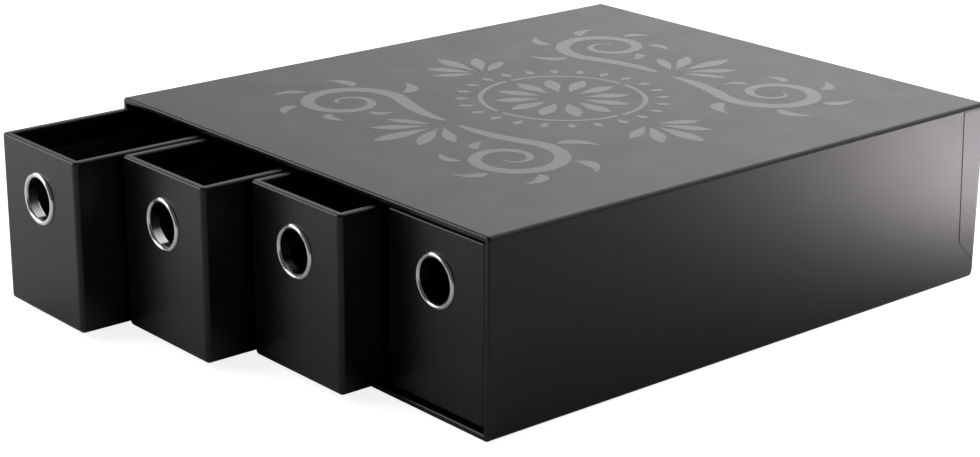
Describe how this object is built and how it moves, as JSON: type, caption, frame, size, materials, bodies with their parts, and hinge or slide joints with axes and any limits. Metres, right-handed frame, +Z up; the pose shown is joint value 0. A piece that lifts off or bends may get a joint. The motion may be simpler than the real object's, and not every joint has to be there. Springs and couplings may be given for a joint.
{
  "type": "trading card drawer box",
  "caption": "Paper-covered board case, open at the front, with side-by-side sliding drawers for sleeved cards, each pulled by a chrome eyelet.",
  "frame": {"origin": "middle of the case's underside, with the drawers left out of it", "axes": "+X along the front from the first drawer to the last, +Y to the back, +Z up"},
  "size_m": [0.329, 0.4688, 0.1082],
  "materials": {
    "board": "raw greyboard",
    "cover_paper": "black paper with a satin laminate",
    "lining_paper": "matte black paper",
    "eyelet": "bright plated",
    "washer": "plain"
  },
  "bodies": {
    "case": {"case_top_board": "board", "case_bottom_board": "board", "case_left_board": "board", "case_right_board": "board", "case_back_board": "board", "case_cover_paper": "cover_paper", "case_base_paper": "cover_paper", "case_back_paper": "cover_paper", "case_lining_paper": "lining_paper"},
    "drawer_1": {"drawer_1_front_board": "board", "drawer_1_back_board": "board", "drawer_1_left_board": "board", "drawer_1_right_board": "board", "drawer_1_bottom_board": "board", "drawer_1_cover_paper": "cover_paper", "drawer_1_lining_paper": "lining_paper", "drawer_1_eyelet": "eyelet", "drawer_1_eyelet_washer": "washer"},
    "drawer_2": {"drawer_2_front_board": "board", "drawer_2_back_board": "board", "drawer_2_left_board": "board", "drawer_2_right_board": "board", "drawer_2_bottom_board": "board", "drawer_2_cover_paper": "cover_paper", "drawer_2_lining_paper": "lining_paper", "drawer_2_eyelet": "eyelet", "drawer_2_eyelet_washer": "washer"},
    "drawer_3": {"drawer_3_front_board": "board", "drawer_3_back_board": "board", "drawer_3_left_board": "board", "drawer_3_right_board": "board", "drawer_3_bottom_board": "board", "drawer_3_cover_paper": "cover_paper", "drawer_3_lining_paper": "lining_paper", "drawer_3_eyelet": "eyelet", "drawer_3_eyelet_washer": "washer"},
    "drawer_4": {"drawer_4_front_board": "board", "drawer_4_back_board": "board", "drawer_4_left_board": "board", "drawer_4_right_board": "board", "drawer_4_bottom_board": "board", "drawer_4_cover_paper": "cover_paper", "drawer_4_lining_paper": "lining_paper", "drawer_4_eyelet": "eyelet", "drawer_4_eyelet_washer": "washer"}
  },
  "joints": [
    {"name": "drawer_1_slide", "type": "slide", "parent": "case", "child": "drawer_1", "axis": [0, -1, 0], "range_m": [-0.0849, 0.3053]},
    {"name": "drawer_2_slide", "type": "slide", "parent": "case", "child": "drawer_2", "axis": [0, -1, 0], "range_m": [-0.0566, 0.3336]},
    {"name": "drawer_3_slide", "type": "slide", "parent": "case", "child": "drawer_3", "axis": [0, -1, 0], "range_m": [-0.0283, 0.3619]},
    {"name": "drawer_4_slide", "type": "slide", "parent": "case", "child": "drawer_4", "axis": [0, -1, 0], "range_m": [0, 0.3902]}
  ]
}
